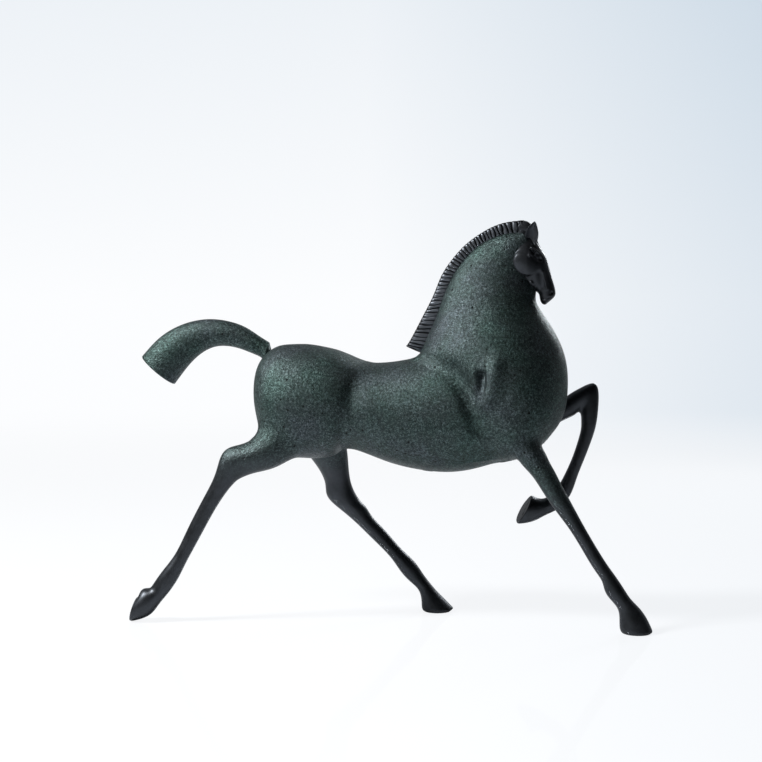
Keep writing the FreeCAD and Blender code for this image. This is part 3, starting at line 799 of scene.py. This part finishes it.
LEFT_FORE = stations(
    ((108.0, 139.0), (93.0, 160.0), 18.0, 14.0),
    ((125.4, 151.6), (112.0, 169.5), 25.0, 11.6),
    ((135.6, 159.6), (127.2, 173.6), 28.5, 9.4),
    ((143.6, 164.0), (137.4, 178.4), 30.5, 8.2),
    ((149.8, 167.0), (146.6, 184.9), 31.8, 7.8),
    ((152.8, 169.2), (155.4, 190.0), 32.4, 7.6),
    ((154.6, 169.0), (165.4, 193.7), 32.6, 7.0),
    ((155.6, 166.0), (169.8, 187.4), 32.6, 7.2),
    ((155.8, 160.5), (169.8, 173.6), 32.5, 7.1),
    ((155.2, 153.6), (167.8, 158.0), 32.4, 6.8),
    ((152.0, 142.0), (163.5, 144.0), 32.2, 6.4),
    ((147.8, 130.0), (158.6, 131.0), 32.0, 6.2),
    ((142.0, 117.0), (152.6, 115.4), 31.8, 6.2),
    ((136.0, 106.4), (147.0, 100.6), 31.6, 6.5),
    ((130.6, 100.6), (137.2, 89.2), 31.5, 6.7),
    ((125.4, 97.6), (127.2, 83.8), 31.5, 7.4),
    ((120.0, 97.8), (117.6, 78.8), 31.5, 9.2),
    ((116.0, 99.4), (108.0, 76.4), 31.5, 10.6),
    ((114.4, 99.4), (103.8, 76.2), 31.5, 10.4),
    ((113.8, 98.0), (103.2, 77.4), 31.5, 9.6),
)
left_fore = leg("left_foreleg", LEFT_FORE, np.array([-0.2, 0.0, 0.1]), 2.3, 6.0, 30, tilt=0.34)
left_fore.data.materials.append(smooth)
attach(left_fore, "root")
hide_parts("left_foreleg")

# --------------------------------------------------------------------------------------- tail and its end cap
# The hollow tail is a curved horn that widens to a slanting saw cut. A disc, let into the cut and brazed,
# closes it; a hairline shows round the disc.

TAIL = stations(
    ((-98.0, 226.0), (-102.0, 214.0), 0.0, 5.6),
    ((-109.2, 232.8), (-112.0, 217.2), 0.0, 6.8),
    ((-121.0, 240.2), (-124.0, 221.8), 0.0, 8.2),
    ((-135.0, 245.0), (-136.5, 224.4), 0.0, 9.4),
    ((-150.0, 246.8), (-148.5, 223.2), 0.0, 10.6),
    ((-165.5, 245.0), (-160.0, 217.0), 0.0, 12.0),
    ((-181.0, 239.4), (-169.4, 208.0), 0.0, 13.4),
    ((-195.3, 229.8), (-176.0, 199.8), 0.0, 14.6),
    ((-208.3, 216.0), (-181.3, 192.8), 0.0, 15.4),
)
tail_mass = mass_of(TAIL)
TAIL_FILLET = 8.0


def tail_skin(points):
    """The tail's own surface, filleted to the rump."""
    return own_skin(depth(points, tail_mass), trunk_depth(points), TAIL_FILLET * MM)


limb_masses.append((tail_mass, TAIL_FILLET))
horn_rows, inner_rows = limb_rows(TAIL, tail_skin, 1.0, 10, 80, 1.1)
cut = horn_rows[-1]
cut_middle = cut.mean(0)
cut_normal = np.cross(cut[20] - cut_middle, cut[0] - cut_middle)
cut_normal *= np.sign(cut_normal @ (cut_middle - horn_rows[-4].mean(0))) / np.linalg.norm(cut_normal)


def cut_ring(inset, push):
    """The tail's end ring drawn in by inset all round and pushed out of the cut by push, in millimetres."""
    off = cut - cut_middle
    size = np.linalg.norm(off, axis=1)[:, None]
    return cut_middle + off * (1.0 - inset * MM / size) + push * MM * cut_normal


TAIL_RIM = 2.0
CAP_SINK = 1.6
rim_steps = [(0.25, 0.22), (0.7, 0.32), (TAIL_RIM - 0.35, 0.3), (TAIL_RIM, 0.12), (TAIL_RIM, -CAP_SINK)]
rim = np.array([cut_ring(*step) for step in rim_steps])
seat = np.repeat((cut_middle - CAP_SINK * MM * cut_normal)[None, None], cut.shape[0], 1)
tail = grid_mesh("tail", np.concatenate([inner_rows, horn_rows, rim, seat]))
tail.data.materials.append(granular)
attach(tail, "root")
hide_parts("tail")

CAP_PROUD = 0.34
cap_steps = [(TAIL_RIM + 0.12, 0.08), (TAIL_RIM + 0.4, 0.3)]
cap_steps += [(TAIL_RIM + 0.4 + 1.1 * i, CAP_PROUD) for i in range(1, 11)]
cap_rows = [cut_ring(TAIL_RIM + 0.12, -CAP_SINK + 0.1)] + [cut_ring(*step) for step in cap_steps]
under_cap = np.repeat((cut_middle - (CAP_SINK - 0.1) * MM * cut_normal)[None, None], cut.shape[0], 1)
over_cap = np.repeat((cut_middle + CAP_PROUD * MM * cut_normal)[None, None], cut.shape[0], 1)
cap = grid_mesh("tail_end_cap", np.concatenate([under_cap, np.array(cap_rows), over_cap]))
cap.data.materials.append(granular)
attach(cap, "root")
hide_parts("tail_end_cap")

# ------------------------------------------------------------------------------------------------- belly plug
# A round plug hammered into the hole that held the core, filed nearly flush with the keel.

PLUG_PLACE = (31.0, 0.0)
PLUG_RADIUS = 4.5
PLUG_PROUD = 0.3
turn = np.linspace(0.0, 2.0 * math.pi, 40, endpoint=False)
plug_rings = np.array([1.0, 0.97, 0.9, 0.7, 0.45, 0.2])
plug_x = (PLUG_PLACE[0] + PLUG_RADIUS * plug_rings[:, None] * np.cos(turn)) * MM
plug_y = (PLUG_PLACE[1] + PLUG_RADIUS * plug_rings[:, None] * np.sin(turn)) * MM
above = np.stack([plug_x, plug_y, np.full(plug_x.shape, 150.0 * MM)], 2)
face = walk(above.reshape(-1, 3), np.tile([0.0, 0.0, -1.0], (above.size // 3, 1)), barrel_skin, 0.05)
face = face.reshape(above.shape)
face[:, :, 2] -= (PLUG_PROUD * np.array([0.3, 0.75, 1.0, 1.0, 1.0, 1.0]) * MM)[:, None]
plug_top = face[:1] + np.array([0.0, 0.0, 2.0 * MM])
plug_end = np.repeat(face[-1:].mean(1, keepdims=True), turn.size, 1)
plug_start = np.repeat(plug_top.mean(1, keepdims=True), turn.size, 1)
plug = grid_mesh("belly_plug", np.concatenate([plug_start, plug_top, face, plug_end]))
plug.data.materials.append(granular)
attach(plug, "root")
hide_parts("belly_plug")

# ------------------------------------------------------------------------------------------------------- head
# A small solid casting, smooth and dark, set into the front of the neck. The cheek is a raised disc with a
# sharp rear edge; eye, brow, ridge and nostril were cut into the wax and left a little angular.

HEAD = stations(
    ((99.0, 314.0), (111.5, 319.0), 0.0, 5.0),
    ((96.0, 305.5), (118.9, 309.6), 0.0, 8.8),
    ((93.0, 298.5), (122.4, 303.6), 0.0, 11.8),
    ((92.6, 291.0), (126.2, 297.4), 0.0, 13.2),
    ((97.0, 283.6), (128.3, 291.2), 0.0, 12.6),
    ((104.0, 277.2), (130.0, 285.0), 0.0, 10.6),
    ((111.0, 272.2), (131.7, 278.9), 0.0, 8.4),
    ((117.2, 269.6), (133.4, 273.2), 0.0, 6.9),
    ((120.9, 266.8), (134.3, 268.6), 0.0, 6.4),
    ((121.8, 263.0), (133.7, 265.0), 0.0, 6.3),
    ((123.0, 259.8), (130.6, 261.7), 0.0, 5.2),
    ((124.6, 258.4), (127.6, 259.2), 0.0, 2.6),
)
head_rows = ring_rows(HEAD, np.linspace(0.0, len(HEAD) - 1.0, 150), 160)
flank = np.abs(head_rows[:, :, 1]) / np.abs(head_rows[:, :, 1]).max(1)[:, None]
flank = ease(flank, 0.45, 0.85)
at_x, at_z = head_rows[:, :, 0] / MM, head_rows[:, :, 2] / MM


def ridge(a, b, width, high):
    """A rib along a line in side view: its height times the bell curve of the distance, in millimetres."""
    run = np.array(b) - np.array(a)
    share = np.clip(((at_x - a[0]) * run[0] + (at_z - a[1]) * run[1]) / (run @ run), 0.0, 1.0)
    gap = np.hypot(at_x - a[0] - share * run[0], at_z - a[1] - share * run[1])
    return high * np.exp(-(gap / width)**2)


cheek_far = np.hypot(at_x - 111.6, at_z - 292.2)
relief = 2.4 * ease(-cheek_far, -11.6, -10.2) * ease(-at_x, -121.0, -111.0) * ease(-at_z, -304.0, -297.0)
FACE_MARKS = (
    ((115.6, 300.2), (122.6, 294.4), 2.2, -3.4),
    ((118.4, 297.6), (120.2, 296.2), 1.35, 2.9),
    ((115.4, 303.4), (123.8, 298.4), 1.0, 1.6),
    ((116.0, 306.2), (124.6, 301.6), 0.8, 0.7),
    ((114.0, 300.8), (113.8, 297.6), 1.1, 1.6),
    ((124.6, 284.0), (127.6, 270.8), 1.1, 1.2),
    ((121.5, 283.0), (123.5, 272.0), 2.2, -1.1),
    ((114.6, 275.4), (115.4, 274.4), 1.7, 2.0),
    ((131.4, 267.8), (130.6, 266.6), 0.9, -1.3),
    ((124.4, 262.2), (130.6, 264.2), 0.8, -0.5),
    ((126.0, 303.0), (133.0, 275.0), 1.5, -0.3),
)
for mark in FACE_MARKS:
    relief = relief + ridge(*mark)
head_rows[:, :, 1] += np.sign(head_rows[:, :, 1]) * relief * flank * MM
crown = np.repeat(head_rows[:1].mean(1, keepdims=True), 160, 1)
chin = np.repeat(head_rows[-1:].mean(1, keepdims=True) + np.array([0.3, 0.0, -0.5]) * MM, 160, 1)
chin_middle = head_rows[-1:].mean(1, keepdims=True)
chin_ring = chin_middle + (head_rows[-1:] - chin_middle) * 0.6 + np.array([0.2, 0.0, -0.35]) * MM
head = grid_mesh("head", np.concatenate([crown, head_rows, chin_ring, chin]))
head.data.materials.append(smooth)
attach(head, "root")
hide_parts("head")

# ------------------------------------------------------------------------------------------------------- ears
# Two pointed leaves, hollow on the outside, with a thin bright rim.

EAR = np.array([
    [114.2, 306.5, -6.6, 3.6, 1.6],
    [114.6, 309.6, -7.6, 4.7, 2.2],
    [115.0, 313.4, -8.6, 5.2, 2.6],
    [115.6, 317.0, -9.4, 4.9, 2.5],
    [116.4, 320.2, -10.0, 3.6, 2.0],
    [117.2, 322.8, -10.4, 1.9, 1.2],
    [117.6, 324.3, -10.6, 0.5, 0.5],
])
EAR_LEAN = math.radians(14.0)


def ear_rows(side):
    """Leaf sections at even heights. Round a section the width is a cosine; the back is a half ellipse and
    the front a shallow bowl behind two rims, so that the section is a crescent. side is -1 for the right
    ear."""
    at = spline(EAR, np.linspace(0.0, len(EAR) - 1.0, 60))[:, None]
    around = np.linspace(0.0, 2.0 * math.pi, 72, endpoint=False)[None]
    across, bulge = np.cos(around), np.sin(around)
    full = 1.0 - across**2
    back = 1.45 * at[:, :, 4] * np.sqrt(full)
    front = -0.55 * at[:, :, 4] * full**0.25 + 1.55 * at[:, :, 4] * full**1.3
    deep = np.where(bulge >= 0.0, back, front)
    along_x = at[:, :, 0] + at[:, :, 3] * across * math.cos(EAR_LEAN)
    along_z = at[:, :, 1] - at[:, :, 3] * across * math.sin(EAR_LEAN) * 0.6
    along_y = side * (-at[:, :, 2] - deep + 0.22 * at[:, :, 3] * across)
    rows = np.stack([along_x, along_y, along_z + 0.0 * deep], 2) * MM
    foot = np.repeat(rows[:1].mean(1, keepdims=True), 72, 1)
    tip = np.repeat(rows[-1:].mean(1, keepdims=True) + np.array([0.0, 0.0, 0.3]) * MM, 72, 1)
    return np.concatenate([foot, rows, tip])


for ear_name, side in (("right_ear", -1.0), ("left_ear", 1.0)):
    ear = grid_mesh(ear_name, ear_rows(side))
    ear.data.materials.append(smooth)
    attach(ear, "root")
    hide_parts(ear_name)

# ------------------------------------------------------------------------------------------------------- mane
# The crest is a tall fin cast on its own and pinned to the neck. Its ribs were pressed into the wax one by
# one: level at the withers, fanning round the crest, with a few larger locks at the poll.

MANE = np.array([
    [13.2, 224.9, 23.6, 220.4],
    [15.6, 228.0, 30.6, 226.0],
    [21.2, 238.2, 37.2, 238.0],
    [28.4, 252.0, 42.0, 253.4],
    [35.4, 266.0, 46.6, 267.4],
    [41.2, 280.2, 51.6, 279.4],
    [48.6, 292.4, 57.0, 288.6],
    [58.8, 304.4, 64.8, 298.4],
    [69.8, 313.4, 74.0, 306.2],
    [81.2, 320.2, 84.4, 311.8],
    [91.8, 324.2, 95.2, 314.4],
    [101.6, 325.8, 104.0, 315.0],
    [108.6, 326.5, 109.6, 313.6],
]) * MM
RIBS = 43
MANE_ROWS = 620
MANE_COLUMNS = 72
MANE_HALF = 4.3

where = np.linspace(0.0, len(MANE) - 1.0, MANE_ROWS)
line = spline(MANE, where)
edge = np.stack([line[:, 0], np.zeros(MANE_ROWS), line[:, 1]], 1)
root = np.stack([line[:, 2], np.zeros(MANE_ROWS), line[:, 3]], 1)
root = root + (root - edge) * 0.32
run = np.concatenate([[0.0], np.cumsum(np.linalg.norm(np.diff((edge + root) / 2, axis=0), axis=1))]) / MM
pitch = np.interp(run / run[-1], [0.0, 0.1, 0.5, 0.8, 0.9, 1.0], [3.4, 4.3, 3.5, 3.2, 4.4, 5.6])
count = np.concatenate([[0.0], np.cumsum(np.diff(run) / ((pitch[1:] + pitch[:-1]) / 2))])
count = count * RIBS / count[-1]
random = np.random.default_rng(11)
around = np.linspace(0.0, 2.0 * math.pi, MANE_COLUMNS, endpoint=False)[None]
tall = np.sign(np.cos(around)) * np.abs(np.cos(around))**0.62
wide = np.sign(np.sin(around)) * np.abs(np.sin(around))**0.5
level = (tall + 1.0) / 2.0
lean = np.interp(count, np.arange(RIBS + 1), random.uniform(-0.22, 0.22, RIBS + 1))[:, None]
curl = np.interp(count, [0.0, RIBS - 6.0, RIBS], [0.0, 0.1, 0.8])[:, None]
waver = 0.10 * np.sin(7.0 * level + count[:, None] * 2.4)
phase = count[:, None] + lean * (level - 0.6) + curl * (level - 0.7)**2 + waver
number = np.clip(np.floor(phase).astype(int), 0, RIBS - 1)
cut_depth = random.uniform(0.8, 1.35, RIBS + 1)[number]
second = random.uniform(0.0, 0.34, RIBS + 1)[number]
rib = np.abs(np.sin(math.pi * phase))
trough = cut_depth * (1.0 - rib**0.75) + second * (0.5 + 0.5 * np.cos(4.0 * math.pi * phase)) * rib
near_edge = ease(level, 0.93, 1.0)
near_root = ease(-level, -0.36, -0.24)
trough = trough * (1.0 - near_root) * (1.0 - 0.8 * near_edge)
half = MANE_HALF * (1.0 - 0.18 * level) - 0.9 * near_root
half = half - trough * (1.0 - near_edge)
centre = (edge + root) / 2
reach = (edge - root) / 2
length = np.linalg.norm(reach, axis=1)[:, None]
shorter = 1.0 - trough * near_edge * MM / length
mane_rows = centre[:, None] + (tall * shorter)[:, :, None] * reach[:, None]
mane_rows = mane_rows + (wide * half * MM)[:, :, None] * np.array([0.0, 1.0, 0.0])
low_end = np.array([0.5, 0.86, 0.97])[:, None, None]
ahead_low = (centre[0] - centre[6]) / np.linalg.norm(centre[0] - centre[6])
low_push = np.array([0.75, 0.6, 0.3])[:, None, None] * MM * ahead_low
foot = centre[0] + (mane_rows[0] - centre[0])[None] * low_end + low_push
high_end = np.array([0.96, 0.8, 0.45])[:, None, None]
ahead_high = (centre[-1] - centre[-7]) / np.linalg.norm(centre[-1] - centre[-7])
high_push = np.array([0.3, 0.8, 1.0])[:, None, None] * MM * ahead_high
brow = centre[-1] + (mane_rows[-1] - centre[-1])[None] * high_end + high_push
foot_pole = np.repeat((centre[0] + 0.8 * MM * ahead_low)[None, None], MANE_COLUMNS, 1)
brow_pole = np.repeat((centre[-1] + 1.05 * MM * ahead_high)[None, None], MANE_COLUMNS, 1)
mane = grid_mesh("mane", np.concatenate([foot_pole, foot, mane_rows, brow, brow_pole]))
# The crest's point attribute is painted light: rib tops are lightened as a painted highlight, troughs and the
# outer edge of the crest are darkened as painted shade. The ribbed patina multiplies its colour by it.
sheen_shade_layer = mane.data.attributes.new("sheen_and_shade", "FLOAT", "POINT")
height = np.clip(1.0 - trough / 1.1, 0.0, 1.0) * (1.0 - 0.85 * ease(level, 0.86, 0.98))
end_points = 3 * MANE_COLUMNS + 1
height = np.concatenate([np.full(end_points, 0.4), height.ravel(), np.full(end_points, 0.5)])
sheen_shade_layer.data.foreach_set("value", height)
mane.data.materials.append(patina("ribbed patina", 0.8, 0.9, sheen_and_shade=True))
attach(mane, "root")
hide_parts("mane")

# --------------------------------------------------------------------------------------------------- forelock
# The last lock of the mane falls forward between the ears and thins out on the forehead.

FORELOCK = stations(
    ((104.6, 326.2), (104.6, 310.0), 0.0, 3.6),
    ((110.8, 325.6), (109.0, 310.0), 0.0, 4.2),
    ((115.6, 322.0), (113.0, 309.6), 0.0, 4.0),
    ((118.4, 316.0), (115.6, 307.6), 0.0, 3.4),
    ((119.8, 309.4), (117.2, 305.2), 0.0, 2.7),
    ((122.2, 304.4), (120.6, 302.2), 0.0, 1.5),
)
LOCK_COLUMNS = 96
lock_where = np.linspace(0.0, len(FORELOCK) - 1.0, 110)
lock = ring_rows(FORELOCK, lock_where, LOCK_COLUMNS)
lock_middle = lock.mean(1, keepdims=True)
lock_turn = np.linspace(0.0, 2.0 * math.pi, LOCK_COLUMNS, endpoint=False)[None]
lock_off = lock - lock_middle
lock_size = np.linalg.norm(lock_off, axis=2)
strand = 0.55 * np.abs(np.sin(4.0 * lock_turn + 0.5 * np.sin(1.3 * lock_where)[:, None])) - 0.3
strand = strand * np.clip(lock_size / (3.0 * MM), 0.0, 1.0)
lock = lock + lock_off / lock_size[:, :, None] * (strand * MM)[:, :, None]
lock_start = np.repeat(lock[:1].mean(1, keepdims=True), LOCK_COLUMNS, 1)
lock_end = np.repeat(lock[-1:].mean(1, keepdims=True) + np.array([0.8, 0.0, -1.4]) * MM, LOCK_COLUMNS, 1)
forelock = grid_mesh("forelock", np.concatenate([lock_start, lock, lock_end]))
forelock.data.materials.append(smooth)
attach(forelock, "root")
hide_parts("forelock")

# ----------------------------------------------------------------------------------------------- chased seams
# The brazed joints of legs and tail are filed until the shading runs on without a break: their normals come
# from one field, the slope of the whole body. The trunk's sections keep nearly all of their own.


def body_depth(points):
    """Trunk, legs and tail as one body, each limb with its own fillet."""
    whole = trunk_depth(points)
    for mass, fillet in limb_masses:
        whole = merge(whole, depth(points, mass), fillet * MM)
    return whole


def chase(piece, wide, floor_z):
    """Gives a piece the normals of the whole body's field wherever its own agree with them within wide
    degrees, so that flat soles and cut ends keep theirs."""
    mesh = piece.data
    points = np.empty(len(mesh.vertices) * 3)
    mesh.vertices.foreach_get("co", points)
    points = points.reshape(-1, 3)
    own = np.empty(len(mesh.vertices) * 3)
    mesh.vertices.foreach_get("normal", own)
    own = own.reshape(-1, 3)
    tiny = 0.05 * MM
    ways = np.array([[1.0, -1.0, -1.0], [-1.0, -1.0, 1.0], [-1.0, 1.0, -1.0], [1.0, 1.0, 1.0]])
    slope = sum(body_depth(points + tiny * way)[:, None] * way for way in ways)
    slope /= np.maximum(np.linalg.norm(slope, axis=1), 1e-12)[:, None]
    agree = (slope * own).sum(1)
    share = ease(agree, math.cos(math.radians(wide)), math.cos(math.radians(wide * 0.5)))
    share = share * ease(points[:, 2], floor_z * MM, (floor_z + 4.0) * MM)
    mixed = own * (1.0 - share)[:, None] + slope * share[:, None]
    mixed /= np.linalg.norm(mixed, axis=1)[:, None]
    mesh.normals_split_custom_set_from_vertices(mixed.tolist())


for piece in (hindquarters, barrel, forehand):
    chase(piece, 360.0, -100.0)
for piece in (right_hind, left_hind, right_fore, left_fore, tail):
    chase(piece, 40.0, 20.0)

# --------------------------------------------------------------------------------- sleeves, dowels, mane pins
# What holds the castings together inside: two rings, six dowels and three small pins of bare bronze, turned
# and left with fine tool lines and the brown heat tint of brazing.

bare = bpy.data.materials.new("bare bronze")
bare.use_nodes = True
bare_tree = bare.node_tree
bare_shader = bare_tree.nodes["Principled BSDF"]
bare_shader.inputs["Metallic"].default_value = 1.0
bare_place = bare_tree.nodes.new("ShaderNodeTexCoord")
stain = bare_tree.nodes.new("ShaderNodeTexNoise")
stain.inputs["Scale"].default_value = 160.0
stain.inputs["Detail"].default_value = 4.0
bare_tree.links.new(bare_place.outputs["Object"], stain.inputs["Vector"])
heat = bare_tree.nodes.new("ShaderNodeValToRGB")
heat.color_ramp.elements[0].position = 0.35
heat.color_ramp.elements[0].color = (0.24, 0.12, 0.05, 1.0)
heat.color_ramp.elements[1].position = 0.65
heat.color_ramp.elements[1].color = (0.60, 0.40, 0.19, 1.0)
bare_tree.links.new(stain.outputs["Fac"], heat.inputs["Fac"])
bare_tree.links.new(heat.outputs["Color"], bare_shader.inputs["Base Color"])
lines = bare_tree.nodes.new("ShaderNodeTexWave")
lines.inputs["Scale"].default_value = 900.0
lines.inputs["Distortion"].default_value = 2.0
bare_tree.links.new(bare_place.outputs["Object"], lines.inputs["Vector"])
scored = line_up(bare_tree, lines.outputs["Fac"], 0.0, 1.0, 0.25, 0.42)
bare_tree.links.new(scored, bare_shader.inputs["Roughness"])
for part in ("rear_sleeve", "front_sleeve", "mane_pins", "right_hind_leg_pin", "left_hind_leg_pin",
             "right_foreleg_pin", "left_foreleg_pin", "head_pin", "tail_pin"):
    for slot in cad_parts[part].material_slots:
        slot.material = bare
